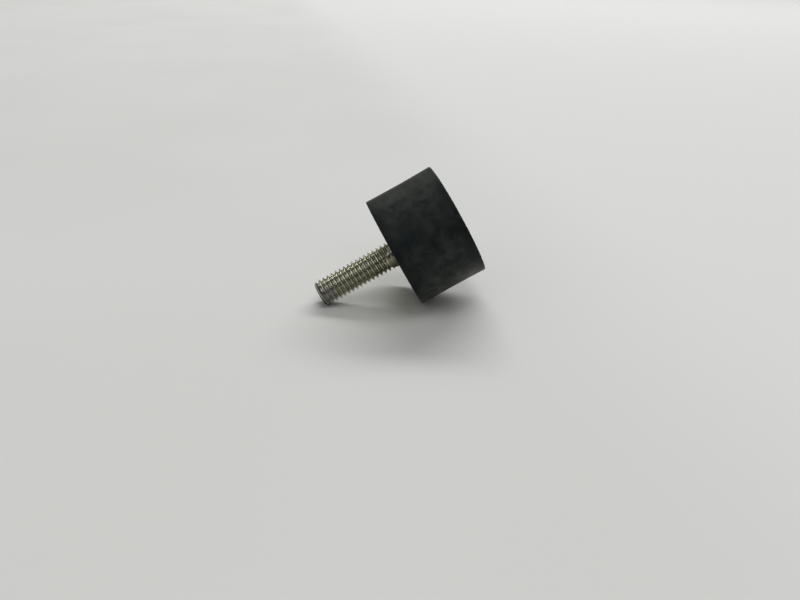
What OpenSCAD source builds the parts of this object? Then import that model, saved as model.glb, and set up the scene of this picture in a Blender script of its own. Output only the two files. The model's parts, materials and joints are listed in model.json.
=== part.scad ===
// Cylindrical vibration damper with one stud.
// A moulded rubber block is bonded to a steel disc, and a threaded stud stands out of the disc.
// +Z runs along the stud. The free rubber face lies on z = 0, with the origin at its centre.

/* [Rubber block] */
// Diameter of the block at its two rims
block_d = 24.8; // [20:0.1:40]
// Height of the block between its two flat faces
block_h = 15.3; // [9:0.1:30]
// How far the side of the block pulls in at mid height
waist = 0.1; // [0.05:0.05:1]
// Radius that the mould leaves on both rims
rim_r = 0.15; // [0.1:0.05:0.5]

/* [Steel disc] */
// Thickness of the disc, which lies flush with the block's upper face
disc_t = 2; // [1:0.1:3]
// Width of the rubber lip that wraps round the edge of the disc
disc_lip = 1; // [0.7:0.1:3]
// Chamfer round the hole of the disc, on its outer side
hole_chamfer = 0.4; // [0.2:0.1:0.8]

/* [Stud] */
// Diameter of the stud over the crests of its thread
stud_d = 5.9; // [4:0.1:8]
// Length of the stud beyond the disc
stud_l = 18.2; // [6:0.1:40]
// Pitch of the thread, which also sets its depth
thread_pitch = 1; // [0.5:0.05:1.25]
// Shortest plain length at the disc, where the thread runs out
thread_run_out = 0.3; // [0.1:0.05:1]
// Chamfer at the tip of the stud
tip_chamfer = 0.5; // [0.2:0.1:1]
// Width of the shoulder between the thread and the neck that fills the hole of the disc
neck_step = 0.4; // [0.2:0.1:1]
// How far the head reaches past the neck, under the disc
head_lip = 2.4; // [1:0.1:4]
// Thickness of the head
head_t = 1.6; // [0.8:0.1:3]
// Radius round the buried edge of the head
head_r = 0.4; // [0.2:0.1:0.7]

/* [Hidden] */
$fn = 96;

// Outer radius of each piece, from the axis outwards
stud_r = stud_d / 2;
neck_r = stud_r + neck_step;
head_edge_r = neck_r + head_lip;
disc_r = block_d / 2 - disc_lip;
block_r = block_d / 2;

// Levels along the axis, from the tip of the stud down
stud_face_z = block_h;
tip_z = stud_face_z + stud_l;
disc_under_z = stud_face_z - disc_t;
head_under_z = disc_under_z - head_t;

// The thread has 60 degree flanks, crests an eighth of the pitch wide and roots a sixth of it wide
crest_w = thread_pitch / 8;
root_w = thread_pitch / 6;
flank_w = (thread_pitch - crest_w - root_w) / 2;
root_r = stud_r - flank_w / tan(30);

// Whole turns of thread fit between the run-out and the chamfer, and the last crest meets the chamfer
thread_turns = floor((stud_l - tip_chamfer - thread_run_out) / thread_pitch);
thread_start_z = tip_z - tip_chamfer - thread_turns * thread_pitch;

// How far a cut or a neck runs on past the face that it meets, so that no skin is left there
run_on = 0.5;

// The side of the block is an arc through the ends of both rim radii
waist_chord = block_h - 2 * rim_r;
waist_arc_r = (pow(waist_chord / 2, 2) + pow(waist, 2)) / (2 * waist);
// The waist arc is very large, so it gets many sides
waist_fn = 1440;

// What a square corner of side r loses when it is rounded. The corner points to +X and +Y.
module corner_waste(r) {
    difference() {
        square([r + run_on, r + run_on]);
        circle(r);
    }
}

// Half section of the block, before the pocket for the disc and the head is taken out
module block_section() {
    difference() {
        square([block_r, block_h]);
        translate([block_r - waist + waist_arc_r, block_h / 2])
            circle(waist_arc_r, $fn = waist_fn);
        translate([block_r - rim_r, block_h - rim_r])
            corner_waste(rim_r);
        translate([block_r - rim_r, rim_r])
            mirror([0, 1])
                corner_waste(rim_r);
    }
}

// Round head of the stud, with its lower edge rounded to keep the rubber from tearing there
module head(thickness) {
    translate([0, 0, head_under_z])
        rotate_extrude()
            difference() {
                square([head_edge_r, thickness]);
                translate([head_edge_r - head_r, head_r])
                    mirror([0, 1])
                        corner_waste(head_r);
            }
}

// Moulded rubber block, with a pocket that fits the disc and the head of the stud
module rubber_block() {
    color([0.12, 0.12, 0.12])
        difference() {
            rotate_extrude()
                block_section();
            translate([0, 0, disc_under_z])
                cylinder(h = disc_t + run_on, r = disc_r);
            head(head_t + run_on);
        }
}

// Pressed steel disc, bonded to the rubber and flush with it
module steel_disc() {
    color([0.62, 0.63, 0.6])
        difference() {
            translate([0, 0, disc_under_z])
                cylinder(h = disc_t, r = disc_r);
            translate([0, 0, disc_under_z - run_on])
                cylinder(h = disc_t + 2 * run_on, r = neck_r);
            translate([0, 0, stud_face_z - hole_chamfer])
                cylinder(h = hole_chamfer + run_on, r1 = neck_r, r2 = neck_r + hole_chamfer + run_on);
        }
}

// Half section of one turn of the thread, from the foot of a flank to the next crest
function turn_section(z) = [
    [stud_r, z],
    [root_r, z + flank_w],
    [root_r, z + flank_w + root_w],
    [stud_r, z + thread_pitch - crest_w]
];

// Shank of the stud. Each turn of the thread is a ring groove of the thread's true section
module threaded_shank() {
    rotate_extrude()
        polygon(concat(
            [[0, stud_face_z - run_on], [stud_r, stud_face_z - run_on]],
            [for (turn = [0 : thread_turns - 1]) each turn_section(thread_start_z + turn * thread_pitch)],
            [[stud_r, tip_z - tip_chamfer], [stud_r - tip_chamfer, tip_z], [0, tip_z]]
        ));
}

// Headed stud, set through the disc from the rubber side
module threaded_stud() {
    color([0.62, 0.6, 0.48])
        union() {
            head(head_t);
            translate([0, 0, disc_under_z - run_on])
                cylinder(h = disc_t + run_on, r = neck_r);
            threaded_shank();
        }
}

rubber_block();
steel_disc();
threaded_stud();
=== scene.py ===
import json
import math

import bmesh
import bpy
from mathutils import Matrix, Vector, noise


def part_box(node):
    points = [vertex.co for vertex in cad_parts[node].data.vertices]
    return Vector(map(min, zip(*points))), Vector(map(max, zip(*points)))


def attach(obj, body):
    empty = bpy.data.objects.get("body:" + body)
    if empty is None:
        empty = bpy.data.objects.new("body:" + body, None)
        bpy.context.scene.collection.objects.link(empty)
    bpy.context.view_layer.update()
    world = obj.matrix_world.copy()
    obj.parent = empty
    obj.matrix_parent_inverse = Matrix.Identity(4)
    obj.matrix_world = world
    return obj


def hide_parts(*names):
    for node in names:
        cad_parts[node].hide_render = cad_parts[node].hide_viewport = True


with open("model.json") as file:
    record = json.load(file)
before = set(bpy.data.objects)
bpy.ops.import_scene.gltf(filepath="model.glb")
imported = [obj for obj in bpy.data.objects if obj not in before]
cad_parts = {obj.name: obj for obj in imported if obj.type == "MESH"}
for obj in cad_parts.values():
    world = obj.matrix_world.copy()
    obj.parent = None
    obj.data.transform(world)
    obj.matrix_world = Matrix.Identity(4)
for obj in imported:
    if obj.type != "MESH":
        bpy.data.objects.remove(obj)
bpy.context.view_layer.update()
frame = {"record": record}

# ---- Threaded stud ----
# A headed stud of mild steel. Its M6 right-hand thread is rolled, so the crests are a little round
# and the tip is chamfered. It is set through the disc before the rubber is moulded round its head.

stud_mount = next(m for m in frame["record"]["mounts"] if m["name"] == "stud")
stud_low, stud_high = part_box("threaded_stud")
stud_face_z = stud_mount["pos_m"][2]
tip_z = stud_high.z
crest_r = stud_mount["dims"]["r_mm"] / 1000
tip_chamfer = tip_z - stud_face_z - stud_mount["dims"]["length_mm"] / 1000
head_r = stud_high.x
head_under_z = stud_low.z
head_edge_r = 0.0004
disc_under_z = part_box("steel_disc")[0].z
neck_step = 0.0004
neck_r = crest_r + neck_step
tip_dish_r = 0.0017
tip_dish_floor_r = 0.55 * tip_dish_r
tip_dish_deep = 0.00012

# The thread's section, in pitches from the middle of a crest and below it
thread_pitch = 0.001
crest_flat = 0.0625
crest_blend = 0.015
root_start = 0.375
flank_slope = math.tan(math.radians(60))
root_arc_r = 0.1443
root_arc_inside = 0.0721
root_arc_at = flank_slope * (root_start - crest_flat) - root_arc_inside
thread_shares = (0.0, 0.0475, 0.0625, 0.0775, 0.18, 0.28, 0.375, 0.415, 0.46, 0.5)
thread_steps = 80
run_out_slope = 1.6

# Turns about the stud: the side that is seen most, and those with the resin, the painted highlight on worn
# crests and the painted reflection of the shaded floor
view_turn_deg = -110
resin_turn_deg = view_turn_deg - 25
highlight_turn_deg = view_turn_deg + 8
floor_reflection_turn_deg = view_turn_deg - 45
resin_up = 0.0022
resin_slope = 0.9
resin_below_crest = 0.00007


def thread_drop(share):
    """Depth of the thread below its crest, in pitches, at a share of the pitch along the stud."""
    off_crest = abs((share + 0.5) % 1.0 - 0.5)
    if off_crest < crest_flat - crest_blend:
        return 0.0
    if off_crest < crest_flat + crest_blend:
        return flank_slope * (off_crest - crest_flat + crest_blend) ** 2 / (4 * crest_blend)
    if off_crest < root_start:
        return flank_slope * (off_crest - crest_flat)
    return root_arc_at + math.sqrt(root_arc_r ** 2 - (0.5 - off_crest) ** 2)


def stud_radius(share, z, angle):
    """Radius of the thread, cut back by the tip's chamfer and filled out by the run-out and the resin."""
    chamfer_r = crest_r - tip_chamfer + (tip_z - z)
    run_out_r = crest_r - run_out_slope * max(0.0, z - stud_face_z)
    resin_high = resin_up * max(0.0, math.cos(angle - math.radians(resin_turn_deg))) ** 2
    resin_r = crest_r - resin_below_crest - resin_slope * max(0.0, z - stud_face_z - resin_high)
    return min(chamfer_r, max(crest_r - thread_pitch * thread_drop(share), run_out_r, resin_r))


def ring(bm, radius, z, steps=thread_steps):
    """Points on a circle round the stud's axis."""
    turn = 2 * math.pi / steps
    points = [(radius * math.cos(i * turn), radius * math.sin(i * turn), z) for i in range(steps)]
    return [bm.verts.new(point) for point in points]


def band(bm, below, above):
    """Joins two rings with the same number of points by four-sided faces."""
    steps = len(below)
    for i in range(steps):
        bm.faces.new((below[i], below[(i + 1) % steps], above[(i + 1) % steps], above[i]))


def round_corner(radius):
    """How far in and up each point of a rounded corner lies, from the end of one side to the other."""
    turns = [math.radians(22.5 * step) for step in range(5)]
    return [(radius * (1 - math.cos(turn)), radius * (1 - math.sin(turn))) for turn in turns]


def cut_square(bm, z, clear_above):
    """Cuts the mesh square to the axis, clears one side and returns the edges of the cut."""
    cut = bmesh.ops.bisect_plane(
        bm, geom=bm.verts[:] + bm.edges[:] + bm.faces[:], dist=1e-9, plane_co=(0, 0, z),
        plane_no=(0, 0, 1), clear_outer=clear_above, clear_inner=not clear_above)
    return [g for g in cut["geom_cut"] if isinstance(g, bmesh.types.BMEdge)]


def fill_flat(bm, edges, inner):
    """Fills the flat surface between the edges of a cut and a ring."""
    loop = [bm.edges.new((inner[i - 1], inner[i])) for i in range(len(inner))]
    bmesh.ops.triangle_fill(bm, edges=edges + loop, use_beauty=True)


def finish_piece(bm, name, sharp_deg):
    """Makes the mesh an object that shades smoothly, apart from edges that fold by more than an angle."""
    bmesh.ops.recalc_face_normals(bm, faces=bm.faces)
    for face in bm.faces:
        face.smooth = True
    for edge in bm.edges:
        edge.smooth = len(edge.link_faces) != 2 or edge.calc_face_angle() < math.radians(sharp_deg)
    mesh = bpy.data.meshes.new(name)
    bm.to_mesh(mesh)
    bm.free()
    piece = bpy.data.objects.new(name, mesh)
    bpy.context.scene.collection.objects.link(piece)
    return piece


def thread_lines(bm):
    """Rows of points that climb the stud with the helix, from below the face to above the tip."""
    shares = thread_shares + tuple(1 - s for s in reversed(thread_shares[1:-1]))
    turns = math.ceil((tip_z - stud_face_z) / thread_pitch) + 2
    lines = []
    for turn in range(-1, turns):
        for share in shares:
            line = []
            for i in range(thread_steps):
                z = stud_face_z + thread_pitch * (turn + share + i / thread_steps)
                angle = 2 * math.pi * i / thread_steps
                r = stud_radius(share, min(max(z, stud_face_z), tip_z), angle)
                line.append(bm.verts.new((r * math.cos(angle), r * math.sin(angle), z)))
            lines.append(line)
    return lines, len(shares)


def make_stud():
    """The thread from tip to disc, then the neck in the disc's hole and the head below it."""
    bm = bmesh.new()
    lines, lines_per_turn = thread_lines(bm)
    for at in range(len(lines) - 1):
        below, above = lines[at], lines[at + 1]
        for i in range(thread_steps - 1):
            bm.faces.new((below[i], below[i + 1], above[i + 1], above[i]))
        if at + 1 + lines_per_turn < len(lines):
            next_below, next_above = lines[at + lines_per_turn], lines[at + 1 + lines_per_turn]
            bm.faces.new((below[-1], next_below[0], next_above[0], above[-1]))
    dish = ring(bm, tip_dish_r, tip_z)
    fill_flat(bm, cut_square(bm, tip_z, clear_above=True), dish)
    dish_floor = ring(bm, tip_dish_floor_r, tip_z - tip_dish_deep)
    band(bm, dish, dish_floor)
    bm.faces.new(dish_floor)
    shoulder = ring(bm, neck_r, stud_face_z)
    fill_flat(bm, cut_square(bm, stud_face_z, clear_above=False), shoulder)
    rings = [shoulder, ring(bm, neck_r, disc_under_z), ring(bm, head_r, disc_under_z)]
    rings += [ring(bm, head_r - inward, head_under_z + up) for inward, up in round_corner(head_edge_r)]
    for above, below in zip(rings, rings[1:]):
        band(bm, below, above)
    bm.faces.new(rings[-1])
    return finish_piece(bm, "stud", 30)


def make_group(name, inputs, outputs):
    """Starts a shader node group with named sockets and returns its tree and both end nodes."""
    group = bpy.data.node_groups.new(name, "ShaderNodeTree")
    for socket, kind, value in inputs:
        made = group.interface.new_socket(socket, in_out="INPUT", socket_type=kind)
        made.default_value = value
    for socket in outputs:
        group.interface.new_socket(socket, in_out="OUTPUT", socket_type="NodeSocketFloat")
    return group, group.nodes.new("NodeGroupInput"), group.nodes.new("NodeGroupOutput")


def set_inputs(tree, node, values):
    """Gives each input a value, or links it where the value is a socket of another node."""
    for socket, value in values.items():
        if isinstance(value, bpy.types.NodeSocket):
            tree.links.new(value, node.inputs[socket])
        elif value is not None:
            node.inputs[socket].default_value = value


def calc(tree, operation, first, second=None, third=None):
    """Works out a value from up to three others."""
    node = tree.nodes.new("ShaderNodeMath")
    node.operation = operation
    set_inputs(tree, node, {0: first, 1: second, 2: third})
    return node.outputs[0]


def ease(tree, value, start, end, low=0.0, high=1.0):
    """Follows a value from start to end, smoothly from low to high."""
    node = tree.nodes.new("ShaderNodeMapRange")
    node.interpolation_type = "SMOOTHSTEP"
    set_inputs(tree, node, {0: value, 1: start, 2: end, 3: low, 4: high})
    return node.outputs[0]


def place_in_mm(tree):
    """The place on the surface in millimetres, and its distance from the stud's axis."""
    place = tree.nodes.new("ShaderNodeTexCoord")
    in_mm = tree.nodes.new("ShaderNodeVectorMath")
    in_mm.operation = "SCALE"
    set_inputs(tree, in_mm, {"Vector": place.outputs["Object"], "Scale": 1000})
    parts = tree.nodes.new("ShaderNodeSeparateXYZ")
    tree.links.new(in_mm.outputs[0], parts.inputs[0])
    x, y, z = parts.outputs
    squares = calc(tree, "ADD", calc(tree, "MULTIPLY", x, x), calc(tree, "MULTIPLY", y, y))
    radius = calc(tree, "SQRT", squares)
    return in_mm.outputs[0], x, y, z, radius


def patches_group():
    """Soft uneven patches as a mask from 0 to 1. Size is in millimetres, Cover is the share covered."""
    group, given, result = make_group(
        "patches",
        [("Size", "NodeSocketFloat", 2.0), ("Stretch", "NodeSocketVector", (1, 1, 1)),
         ("Cover", "NodeSocketFloat", 0.5), ("Softness", "NodeSocketFloat", 0.2),
         ("Detail", "NodeSocketFloat", 4.0), ("Swirl", "NodeSocketFloat", 0.0)],
        ["Mask"])
    in_mm = place_in_mm(group)[0]
    stretched = group.nodes.new("ShaderNodeVectorMath")
    stretched.operation = "MULTIPLY"
    set_inputs(group, stretched, {0: in_mm, 1: given.outputs["Stretch"]})
    cloud = group.nodes.new("ShaderNodeTexNoise")
    set_inputs(group, cloud, {
        "Vector": stretched.outputs[0], "Scale": calc(group, "DIVIDE", 1.0, given.outputs["Size"]),
        "Detail": given.outputs["Detail"], "Distortion": given.outputs["Swirl"]})
    level = calc(group, "SUBTRACT", 1.0, given.outputs["Cover"])
    low = calc(group, "SUBTRACT", level, given.outputs["Softness"])
    high = calc(group, "ADD", level, given.outputs["Softness"])
    group.links.new(ease(group, cloud.outputs["Fac"], low, high), result.inputs["Mask"])
    return group


def grain_group():
    """Height of a fine grain for a Bump node. Size is in millimetres, and Fine adds a smaller grain."""
    group, given, result = make_group(
        "grain", [("Size", "NodeSocketFloat", 0.3), ("Fine", "NodeSocketFloat", 0.4)], ["Height"])
    in_mm = place_in_mm(group)[0]
    heights = []
    for share in (1.0, 4.0):
        cloud = group.nodes.new("ShaderNodeTexNoise")
        set_inputs(group, cloud, {
            "Vector": in_mm, "Scale": calc(group, "DIVIDE", share, given.outputs["Size"]), "Detail": 2.0})
        heights.append(cloud.outputs["Fac"])
    fine = calc(group, "MULTIPLY", heights[1], given.outputs["Fine"])
    group.links.new(calc(group, "ADD", heights[0], fine), result.inputs["Height"])
    return group


patches = patches_group()
grain = grain_group()


def add_group(tree, group, **values):
    """Places a node group with its own values and returns its output."""
    node = tree.nodes.new("ShaderNodeGroup")
    node.node_tree = group
    set_inputs(tree, node, values)
    return node.outputs[0]


def tint(tree, mask, under, over):
    """Lays a colour over another where the mask is 1."""
    node = tree.nodes.new("ShaderNodeMix")
    node.data_type = "RGBA"
    colours = [c if isinstance(c, bpy.types.NodeSocket) else (*c, 1) for c in (under, over)]
    set_inputs(tree, node, {"Factor": mask, 6: colours[0], 7: colours[1]})
    return node.outputs[2]


def roughen(tree, shader, height, depth_mm):
    """Raises the surface by a height through a Bump node."""
    bump = tree.nodes.new("ShaderNodeBump")
    set_inputs(tree, bump, {"Height": height, "Strength": 1.0, "Distance": depth_mm / 1000})
    tree.links.new(bump.outputs[0], shader.inputs["Normal"])


def start_material(name):
    """Makes a material and returns it with its tree and its Principled shader."""
    material = bpy.data.materials.new(name)
    material.use_nodes = True
    return material, material.node_tree, material.node_tree.nodes["Principled BSDF"]


def zinc_colours(tree):
    """Zinc plate with a thin olive passivation that varies from straw to grey."""
    olive = (0.46, 0.47, 0.35)
    straw = (0.52, 0.50, 0.37)
    grey = (0.49, 0.49, 0.45)
    body = tint(tree, add_group(tree, patches, Size=1.9, Cover=0.5, Softness=0.2), olive, straw)
    return tint(tree, add_group(tree, patches, Size=0.8, Cover=0.36, Softness=0.2), body, grey)


def toward_turn(tree, x, y, turn_deg):
    """How far a place lies from the axis toward a turn about it, in millimetres."""
    turn = math.radians(turn_deg)
    return calc(tree, "MULTIPLY_ADD", x, math.cos(turn), calc(tree, "MULTIPLY", y, math.sin(turn)))


# Where the plate on the thread changes, in millimetres: from the axis, toward a turn, or up the stud
root_from_axis = (2.82, 2.40)
crest_from_axis = (2.78, 2.90)
# The crests toward this side are worn bare and carry a painted highlight.
highlight_side = (2.3, 2.8)
resin_side = (1.5, 2.3)
resin_top_z = (18.0, 16.8)
# Toward this side and near the tip, the thread is painted grey as a reflection of the shaded floor.
floor_reflection_side = (0.8, 1.8)
floor_reflection_z = (29.2, 30.6)
tip_floor_reflection_z = (32.3, 33.0)
tip_dark_z = (32.6, 33.0)
cut_end_z = (33.40, 33.48)

# The roots of the thread are tinted darker.
root_darkening = (0.15, 0.15, 0.11)
# Bare zinc on worn crests, lightened as a painted highlight.
worn_crest_highlight = (0.70, 0.70, 0.66)
# Painted reflection of the shaded floor: grey on the lower side near the tip and round the tip.
floor_reflection_grey = (0.42, 0.42, 0.40)
tip_dark = (0.14, 0.14, 0.13)
resin_brown = (0.22, 0.20, 0.15)
cut_steel = (0.07, 0.07, 0.065)


def thread_zinc():
    """The plate on the thread: dull and darker in the roots, worn bare on the crests of one side with a
    painted highlight there, and grey near the tip as a painted reflection of the shaded floor.
    """
    material, tree, shader = start_material("zinc_on_thread")
    x, y, z, radius = place_in_mm(tree)[1:]
    root = ease(tree, radius, *root_from_axis)
    outer = ease(tree, radius, *crest_from_axis)
    crest = calc(tree, "MULTIPLY", outer, add_group(tree, patches, Size=0.6, Cover=0.65, Softness=0.15))
    # Painted highlight: the bare crests show only on the side toward the highlight.
    highlight_facing = ease(tree, toward_turn(tree, x, y, highlight_turn_deg), *highlight_side)
    crest = calc(tree, "MULTIPLY", crest, highlight_facing)
    resin = ease(tree, toward_turn(tree, x, y, resin_turn_deg), *resin_side)
    resin = calc(tree, "MULTIPLY", resin, ease(tree, z, *resin_top_z))
    resin = calc(tree, "MULTIPLY", resin, add_group(tree, patches, Size=1.0, Cover=0.8, Softness=0.25))
    # Painted reflection of the shaded floor: grey on the lower side near the tip, and all round the tip.
    floor_reflection = ease(tree, toward_turn(tree, x, y, floor_reflection_turn_deg), *floor_reflection_side)
    floor_reflection = calc(tree, "MULTIPLY", floor_reflection, ease(tree, z, *floor_reflection_z))
    floor_reflection = calc(tree, "MAXIMUM", floor_reflection, ease(tree, z, *tip_floor_reflection_z))
    cut_end = ease(tree, z, *cut_end_z)
    colour = tint(tree, calc(tree, "MULTIPLY", root, 0.3), zinc_colours(tree), root_darkening)
    colour = tint(tree, crest, colour, worn_crest_highlight)
    colour = tint(tree, calc(tree, "MULTIPLY", floor_reflection, 0.8), colour, floor_reflection_grey)
    colour = tint(tree, ease(tree, z, *tip_dark_z, 0.0, 0.65), colour, tip_dark)
    colour = tint(tree, calc(tree, "MULTIPLY", resin, 0.8), colour, resin_brown)
    colour = tint(tree, calc(tree, "MULTIPLY", cut_end, 0.8), colour, cut_steel)
    dull = add_group(tree, patches, Size=0.5, Cover=0.5, Softness=0.3)
    roughness = calc(tree, "MULTIPLY_ADD", dull, 0.06, 0.21)
    roughness = calc(tree, "MULTIPLY_ADD", outer, -0.08, roughness)
    roughness = calc(tree, "MULTIPLY_ADD", root, 0.04, roughness)
    roughness = calc(tree, "MULTIPLY_ADD", resin, 0.15, roughness)
    round_stud = tree.nodes.new("ShaderNodeTangent")
    round_stud.direction_type = "RADIAL"
    round_stud.axis = "Z"
    set_inputs(tree, shader, {
        "Base Color": colour, "Roughness": roughness, "Metallic": 1.0,
        "Anisotropic": 0.8, "Anisotropic Rotation": 0.25, "Tangent": round_stud.outputs[0]})
    roughen(tree, shader, add_group(tree, grain, Size=0.3), depth_mm=0.0015)
    return material


stud = make_stud()
stud.data.materials.append(thread_zinc())
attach(stud, "root")
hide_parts("threaded_stud")

# ---- Steel disc ----
# A blanked washer of mild steel, zinc plated like the stud. Its turned hole seats on the stud's neck,
# and the rubber holds it by the rim and from below, so only its upper face is seen.

disc_low, disc_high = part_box("steel_disc")
disc_r = disc_high.x
hole_chamfer = 0.0004
disc_edge_r = 0.00012
disc_steps = 160
lathe_feed_mm = 0.22
smear_from_axis = (9.6, 11.3)
rubber_smear = (0.06, 0.06, 0.055)


def turned(bm, profile, steps):
    """Turns a closed profile of (radius, height) points round the stud's axis."""
    rings = [ring(bm, r, z, steps) for r, z in profile]
    for at in range(len(rings)):
        band(bm, rings[at - 1], rings[at])


def make_disc():
    """The washer, with its upper rim rounded by the blanking and its hole chamfered."""
    bm = bmesh.new()
    under, face = disc_low.z, disc_high.z
    mouth_r = neck_r + hole_chamfer
    edge = [(disc_r - inward, face - down) for inward, down in round_corner(disc_edge_r)]
    lands = [(mouth_r + share * (disc_r - neck_r - hole_chamfer), face) for share in (0.75, 0.5, 0.25)]
    hole = [(mouth_r, face), (neck_r, face - hole_chamfer)]
    turned(bm, [(neck_r, under), (disc_r, under)] + edge + lands + hole, disc_steps)
    return finish_piece(bm, "disc", 30)


def disc_zinc():
    """The plate on the disc: satin, faintly ringed by the lathe, with smears of rubber near its edge."""
    material, tree, shader = start_material("zinc_on_disc")
    radius = place_in_mm(tree)[4]
    rings_high = calc(tree, "SINE", calc(tree, "MULTIPLY", radius, 2 * math.pi / lathe_feed_mm))
    smear = calc(tree, "MULTIPLY", ease(tree, radius, *smear_from_axis),
                 add_group(tree, patches, Size=1.5, Cover=0.5, Softness=0.12))
    colour = tint(tree, calc(tree, "MULTIPLY", smear, 0.7), zinc_colours(tree), rubber_smear)
    dull = add_group(tree, patches, Size=2.6, Cover=0.5, Softness=0.3)
    roughness = calc(tree, "MULTIPLY_ADD", dull, 0.12, 0.34)
    roughness = calc(tree, "MULTIPLY_ADD", smear, 0.2, roughness)
    set_inputs(tree, shader, {"Base Color": colour, "Roughness": roughness, "Metallic": 1.0})
    height = calc(tree, "MULTIPLY_ADD", rings_high, 0.25, add_group(tree, grain, Size=0.5))
    roughen(tree, shader, height, depth_mm=0.004)
    return material


disc = make_disc()
disc.data.materials.append(disc_zinc())
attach(disc, "root")
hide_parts("steel_disc")

# ---- Rubber block ----
# Black natural rubber, compression moulded round the disc and the stud's head and bonded to both.
# The mould leaves a matt skin, square rims and a slight waist, and a thin flash creeps over the disc.

block_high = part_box("rubber_block")[1]
block_r, block_h = block_high.x, block_high.z
waist = 0.0001
rim_r = 0.00012
flash_thick = 0.00004
flash_reach = 0.00022
flash_inside = 0.0003
block_steps = 288
side_steps = 40
lean_deg = view_turn_deg - 115
skin_wave = 0.000018
skin_wave_mm = 3.0
rim_wear = 0.00012
rim_wear_reach = 0.0006
rim_wear_up = 0.00008
# How closely the uneven forms follow each other, per metre
chip_scale, fine_chip_scale = 1400, 4000
creep_scale, fine_creep_scale = 700, 2600
# Small bites out of the rims: turn, height, size and depth
nibbles = (
    (view_turn_deg + 3, 0.0001, 0.0011, 0.00022),
    (view_turn_deg - 24, 0.0, 0.0007, 0.00009),
    (view_turn_deg + 9, block_h, 0.0008, 0.00010),
)


def block_side():
    """Profile of the skin, from the middle of the free face round both rims to the flash."""
    points = [(share * (block_r - rim_r), 0.0) for share in (0.12, 0.3, 0.5, 0.7, 0.86, 0.95, 0.985)]
    points += [(block_r - inward, up) for up, inward in round_corner(rim_r)]
    for step in range(1, side_steps):
        z = rim_r + (block_h - 2 * rim_r) * step / side_steps
        off_middle = 2 * z / block_h - 1
        points.append((block_r - waist * (1 - off_middle ** 2), z))
    points += [(block_r - inward, block_h - down) for inward, down in round_corner(rim_r)]
    points.append((disc_r + flash_inside, block_h))
    return points


def uneven(point, size_mm, depth):
    """Perlin unevenness of a moulded skin."""
    return depth * noise.noise(Vector(point) * (1000 / size_mm))


def shape_skin(rings, profile):
    """Gives the skin the small waves of the mould, and its rims their nibbled edges."""
    for ring_points, (r, z) in zip(rings, profile):
        near_rim = max(0.0, 1 - math.hypot(block_r - r, min(z, block_h - z)) / rim_wear_reach)
        for vert in ring_points:
            out = Vector((vert.co.x, vert.co.y, 0)).normalized()
            wave = uneven(vert.co, skin_wave_mm, skin_wave) - skin_wave
            chip = max(0.0, noise.noise(vert.co * chip_scale) - 0.1)
            chip += 0.5 * max(0.0, noise.noise(vert.co * fine_chip_scale))
            if r > 0.9 * block_r:
                vert.co += out * (wave - rim_wear * near_rim * chip)
            if z < rim_r or z > block_h - rim_r:
                vert.co.z += (rim_wear_up if z < rim_r else -rim_wear_up) * near_rim * chip


def nibble(rings, turn_deg, z, size, depth):
    """Takes a small bite out of the skin."""
    turn = math.radians(turn_deg)
    at = Vector((block_r * math.cos(turn), block_r * math.sin(turn), z))
    for ring_points in rings:
        for vert in ring_points:
            near = max(0.0, 1 - (vert.co - at).length / size)
            out = Vector((vert.co.x, vert.co.y, 0)).normalized()
            vert.co -= out * depth * near * near * (3 - 2 * near)


def flash(bm):
    """Rings of the thin flash that creeps unevenly over the disc, from the skin to the disc's edge."""
    lines = []
    for reach, height in ((0.45, 1.0), (1.0, 0.75), (1.0, 0.0)):
        line = ring(bm, disc_r, block_h + height * flash_thick, block_steps)
        for vert in line:
            creep = 0.35 + 0.65 * abs(noise.noise(vert.co * creep_scale))
            creep += 0.5 * max(0.0, noise.noise(vert.co * fine_creep_scale))
            vert.co.xy *= 1 - flash_reach * reach * creep / disc_r
        lines.append(line)
    return lines


def make_block():
    """The skin, then the flash, then the pocket that the disc and the stud's head fill."""
    bm = bmesh.new()
    profile = block_side()
    rings = [ring(bm, r, z, block_steps) for r, z in profile]
    shape_skin(rings, profile)
    for turn_deg, z, size, depth in nibbles:
        nibble(rings, turn_deg, z, size, depth)
    pocket = [(disc_r, disc_high.z), (disc_r, disc_low.z), (head_r, disc_low.z)]
    pocket += [(head_r - inward, head_under_z + up) for inward, up in round_corner(head_edge_r)[1:]]
    rings += flash(bm)
    rings += [ring(bm, r, z, block_steps) for r, z in pocket]
    for below, above in zip(rings, rings[1:]):
        band(bm, below, above)
    bm.faces.new(rings[0])
    bm.faces.new(rings[-1])
    return finish_piece(bm, "rubber", 40)


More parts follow.
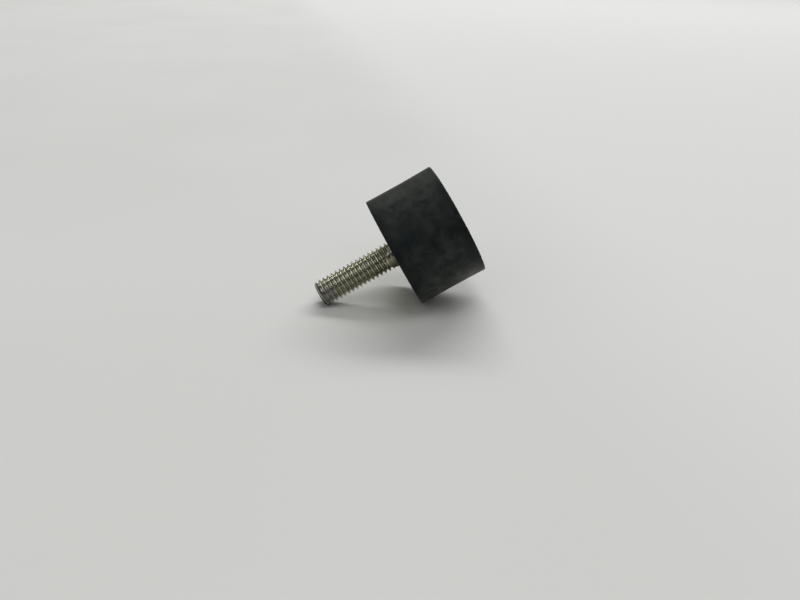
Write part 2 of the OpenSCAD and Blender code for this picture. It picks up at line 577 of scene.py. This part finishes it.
def scuff_group():
    """One dusty rub mark on the round side. Turn and Lean are in degrees, the rest in millimetres."""
    inputs = (("Turn", 0.0), ("Height", 7.0), ("Length", 2.0), ("Width", 0.6), ("Lean", 0.0))
    group, given, result = make_group(
        "scuff", [(name, "NodeSocketFloat", value) for name, value in inputs], ["Mask"])
    x, y, z = place_in_mm(group)[1:4]
    turn = calc(group, "RADIANS", given.outputs["Turn"])
    east = calc(group, "COSINE", turn)
    north = calc(group, "SINE", turn)
    ahead = calc(group, "ADD", calc(group, "MULTIPLY", x, east), calc(group, "MULTIPLY", y, north))
    aside = calc(group, "SUBTRACT", calc(group, "MULTIPLY", y, east), calc(group, "MULTIPLY", x, north))
    arc = calc(group, "MULTIPLY", calc(group, "ARCTAN2", aside, ahead), block_r * 1000)
    up = calc(group, "SUBTRACT", z, given.outputs["Height"])
    lean = calc(group, "RADIANS", given.outputs["Lean"])
    cosine = calc(group, "COSINE", lean)
    sine = calc(group, "SINE", lean)
    u = calc(group, "ADD", calc(group, "MULTIPLY", arc, cosine), calc(group, "MULTIPLY", up, sine))
    v = calc(group, "SUBTRACT", calc(group, "MULTIPLY", up, cosine), calc(group, "MULTIPLY", arc, sine))
    u = calc(group, "DIVIDE", u, given.outputs["Length"])
    v = calc(group, "DIVIDE", v, given.outputs["Width"])
    squares = calc(group, "ADD", calc(group, "MULTIPLY", u, u), calc(group, "MULTIPLY", v, v))
    apart = calc(group, "SQRT", squares)
    broken = add_group(group, patches, Size=1.1, Cover=0.5, Softness=0.25, Detail=4.0, Swirl=0.6)
    edge = calc(group, "MULTIPLY_ADD", broken, 1.1, 0.25)
    mark = ease(group, calc(group, "DIVIDE", apart, edge), 1.3, 0.0)
    group.links.new(mark, result.inputs["Mask"])
    return group


scuff = scuff_group()


# Rub marks on the round side: turn from the side seen most, height, length, width and lean
scuffs = (
    (37, 8.8, 4.5, 2.6, 15),
    (-37, 10.8, 3.8, 2.8, 30),
    (-67, 13.9, 4.5, 3.2, 10),
    (41, 6.3, 2.2, 0.9, 20),
    (31, 9.3, 1.2, 0.6, 60),
    (52, 10.6, 3.0, 1.4, 5),
    (12, 5.1, 0.9, 0.4, 70),
    (6, 3.6, 0.8, 0.35, 40),
    (6, 1.3, 1.4, 0.35, 10),
    (-14, 8.9, 1.6, 0.4, 75),
    (-18, 10.9, 0.9, 0.35, 30),
    (-23, 12.1, 0.8, 0.4, 80),
    (-35, 11.2, 1.1, 0.6, 30),
    (-52, 12.9, 1.3, 0.7, 20),
    (-50, 3.7, 3.2, 1.0, 80),
    (-29, 3.0, 1.0, 0.4, 70),
    (120, 8.0, 2.6, 0.8, 50),
    (150, 4.5, 1.5, 0.5, 10),
    (175, 11.0, 2.4, 0.9, 70),
    (215, 6.0, 1.8, 0.6, 30),
    (250, 10.0, 2.8, 0.7, 60),
)

# Where dust lies, in millimetres: from a rim, from the axis, toward a side, or up the block
wiped_by_rim = (0.2, 2.6)
wiped_free_face = (12.1, 11.4)
wiped_by_hand = (12.2, 9.0)
warm_side = (11.9, 7.5)
pale_dust_side = (1.5, 9.0)
low_rim_side = (5.5, 8.5)
low_rim_z = (11.5, 13.5)

clean_rubber = (0.0030, 0.0052, 0.0058)
bloomed_rubber = (0.0080, 0.0104, 0.0098)
cool_dust = (0.0330, 0.0385, 0.0385)
warm_dust = (0.0390, 0.0390, 0.0310)
# The dust is paler on the side the damper lies on.
low_side_pale_dust = (0.105, 0.106, 0.096)
scuffed_rubber = (0.037, 0.042, 0.039)


def scuff_marks(tree):
    """All the rub marks as one mask."""
    marks = None
    for turn_deg, height, length, width, lean in scuffs:
        mark = add_group(
            tree, scuff, Turn=view_turn_deg + turn_deg, Height=height, Length=length, Width=width, Lean=lean)
        marks = mark if marks is None else calc(tree, "MAXIMUM", marks, mark)
    return marks


def black_rubber():
    """Black rubber, dusty in clouds and smears, wiped near its rims, dustiest where it lies, and with paler
    dust on that side.
    """
    material, tree, shader = start_material("black_rubber")
    x, y, z, radius = place_in_mm(tree)[1:]
    facing = toward_turn(tree, x, y, view_turn_deg)
    beneath = toward_turn(tree, x, y, lean_deg)
    off_rim = calc(tree, "MINIMUM", z, calc(tree, "SUBTRACT", block_h * 1000, z))
    free_face = ease(tree, radius, *wiped_free_face, 0.0, 0.55)
    handled = calc(tree, "MAXIMUM", ease(tree, off_rim, *wiped_by_rim), free_face)
    handled = calc(tree, "MULTIPLY", handled, ease(tree, facing, *wiped_by_hand, 0.65, 1.0))
    low_rim = calc(tree, "MULTIPLY", ease(tree, beneath, *low_rim_side), ease(tree, z, *low_rim_z))
    handled = calc(tree, "MAXIMUM", handled, low_rim)
    bloom = add_group(tree, patches, Size=4.5, Cover=0.5, Softness=0.16, Detail=3.0, Swirl=0.4)
    cloud = add_group(tree, patches, Size=2.0, Cover=0.5, Softness=0.19, Detail=6.0, Swirl=0.4)
    specks = add_group(tree, patches, Size=0.5, Cover=0.42, Softness=0.12, Detail=2.0)
    dust = tint(tree, ease(tree, facing, *warm_side), cool_dust, warm_dust)
    # The dust turns paler toward the side the damper lies on.
    dust = tint(tree, ease(tree, beneath, *pale_dust_side), dust, low_side_pale_dust)
    dusty = calc(tree, "MULTIPLY", cloud, calc(tree, "MULTIPLY_ADD", bloom, 0.7, 0.3))
    dusty = calc(tree, "MULTIPLY", dusty, handled)
    streaked = calc(tree, "MULTIPLY", scuff_marks(tree), calc(tree, "MULTIPLY_ADD", specks, 0.6, 0.4))
    colour = tint(tree, bloom, clean_rubber, bloomed_rubber)
    colour = tint(tree, dusty, colour, dust)
    colour = tint(tree, calc(tree, "MULTIPLY", streaked, 0.65), colour, scuffed_rubber)
    roughness = calc(tree, "MULTIPLY_ADD", dusty, 0.10, 0.46)
    set_inputs(tree, shader, {
        "Base Color": colour, "Roughness": roughness, "Specular IOR Level": 0.19,
        "Specular Tint": (0.92, 1.0, 0.95, 1)})
    roughen(tree, shader, add_group(tree, grain, Size=0.35, Fine=0.5), depth_mm=0.012)
    return material


rubber = make_block()
rubber.data.materials.append(black_rubber())
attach(rubber, "root")
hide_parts("rubber_block")

# ---- Floor ----
# A plain pale sheet, with painted light that leaves it palest beyond the block. The damper lies on it as it
# does on a bench, on the tip of the stud and on the rim of the rubber. Seen from below, the sheet is clear.

side_out = Vector((math.cos(math.radians(lean_deg)), math.sin(math.radians(lean_deg)), 0))
rim_rest = block_r * side_out + Vector((0, 0, block_h))
tip_rest = (crest_r - tip_chamfer / 2) * side_out + Vector((0, 0, tip_z - tip_chamfer / 2))
floor_along = (tip_rest - rim_rest).normalized()
floor_across = floor_along.cross(side_out).normalized()
floor_up = floor_along.cross(floor_across)
floor_half = 6.0
sheet_dull = (0.667, 0.672, 0.652)
sheet_pale = (0.694, 0.699, 0.681)
# Painted light: the sheet is paler beyond the rim of the block.
sheet_painted_light = (0.732, 0.737, 0.722)
painted_light_beyond_rim = (5.0, 70.0)


def along(tree, place, direction):
    """How far a place lies along a direction."""
    node = tree.nodes.new("ShaderNodeVectorMath")
    node.operation = "DOT_PRODUCT"
    set_inputs(tree, node, {0: place, 1: direction})
    return node.outputs["Value"]


def make_floor():
    """The sheet, matt and pale from above and clear from below."""
    corners = [rim_rest + floor_half * (a * floor_along + b * floor_across)
               for a, b in ((-1, -1), (1, -1), (1, 1), (-1, 1))]
    mesh = bpy.data.meshes.new("floor")
    mesh.from_pydata(corners, [], [(0, 1, 2, 3)])
    if mesh.polygons[0].normal.dot(floor_up) < 0:
        mesh.flip_normals()
    material, tree, shader = start_material("pale_sheet")
    mottled = add_group(tree, patches, Size=90.0, Cover=0.5, Softness=0.3, Detail=1.0)
    # Painted light that pales the sheet beyond the block's rim.
    painted_light = ease(tree, along(tree, place_in_mm(tree)[0], -floor_along), *painted_light_beyond_rim)
    colour = tint(tree, painted_light, tint(tree, mottled, sheet_dull, sheet_pale), sheet_painted_light)
    set_inputs(tree, shader, {"Base Color": colour, "Roughness": 0.85, "Specular IOR Level": 0.2})
    clear = tree.nodes.new("ShaderNodeBsdfTransparent")
    side = tree.nodes.new("ShaderNodeNewGeometry")
    either = tree.nodes.new("ShaderNodeMixShader")
    set_inputs(tree, either, {0: side.outputs["Backfacing"], 1: shader.outputs[0], 2: clear.outputs[0]})
    tree.links.new(either.outputs[0], tree.nodes["Material Output"].inputs["Surface"])
    mesh.materials.append(material)
    sheet = bpy.data.objects.new("floor", mesh)
    bpy.context.scene.collection.objects.link(sheet)


make_floor()

# ---- Camera ----
# It looks a little down at the side of the damper, with the tip of the stud to the lower left.

view_turn = Matrix.Rotation(math.radians(view_turn_deg), 3, "Z")
camera_at = view_turn @ Vector((0.1503, 0.0, 0.01181))
camera_right = (view_turn @ Vector((-0.012, -0.48563, -0.87408))).normalized()
camera_ahead = view_turn @ Vector((-0.9969, -0.06219, 0.04824))
camera_ahead = (camera_ahead - camera_ahead.dot(camera_right) * camera_right).normalized()
camera_up = camera_right.cross(camera_ahead)

camera_data = bpy.data.cameras.new("camera")
camera_data.sensor_width = 36
camera_data.lens = 31.5
camera_data.clip_start = 0.001
camera = bpy.data.objects.new("camera", camera_data)
axes = Matrix((camera_right, camera_up, -camera_ahead)).transposed().to_4x4()
camera.matrix_world = Matrix.Translation(camera_at) @ axes
bpy.context.scene.collection.objects.link(camera)
bpy.context.scene.camera = camera

# ---- Light ----
# Three soft lamps hang in the room: a long one beyond the damper, a square one nearly over it and a
# weak one on the camera's side. The room is pale, but for its dark end behind the camera.

floor_away = (camera_ahead - camera_ahead.dot(floor_up) * floor_up).normalized()
floor_right = floor_away.cross(floor_up)
lamp_apart = 2.5
room_pale = (0.26, 0.262, 0.255)
room_dark_end = (0.03, 0.03, 0.03)


def hang_lamp(name, angle_deg, aside_deg, length, width, watts):
    """Hangs a lamp at an angle from the floor beyond the damper, over it, to the camera's side."""
    angle, aside = math.radians(angle_deg), math.radians(aside_deg)
    toward = math.cos(aside) * (math.cos(angle) * floor_away + math.sin(angle) * floor_up)
    toward += math.sin(aside) * floor_right
    across = toward.cross(floor_right).normalized()
    data = bpy.data.lights.new(name, "AREA")
    data.shape = "RECTANGLE"
    data.size = length
    data.size_y = width
    data.energy = watts
    lamp = bpy.data.objects.new(name, data)
    axes = Matrix((across.cross(toward), across, toward)).transposed()
    lamp.matrix_world = Matrix.Translation(rim_rest + lamp_apart * toward) @ axes.to_4x4()
    lamp.visible_camera = False
    bpy.context.scene.collection.objects.link(lamp)


hang_lamp("lamp_beyond", 49, 8, 2.6, 0.55, 41)
hang_lamp("lamp_over", 106, 4, 1.2, 1.2, 13)
hang_lamp("lamp_near", 139, -5, 3.0, 0.30, 7.5)

world = bpy.data.worlds.new("room")
bpy.context.scene.world = world
world.use_nodes = True
tree = world.node_tree
looking = tree.nodes.new("ShaderNodeTexCoord").outputs["Generated"]


behind = ease(tree, along(tree, looking, -floor_away), 0.3, 0.7)
shade = calc(tree, "MULTIPLY", behind, ease(tree, along(tree, looking, floor_up), 0.7, 0.45))
room = tint(tree, shade, room_pale, room_dark_end)
set_inputs(tree, tree.nodes["Background"], {"Color": room, "Strength": 1.0})
bpy.context.scene.view_settings.view_transform = "Standard"
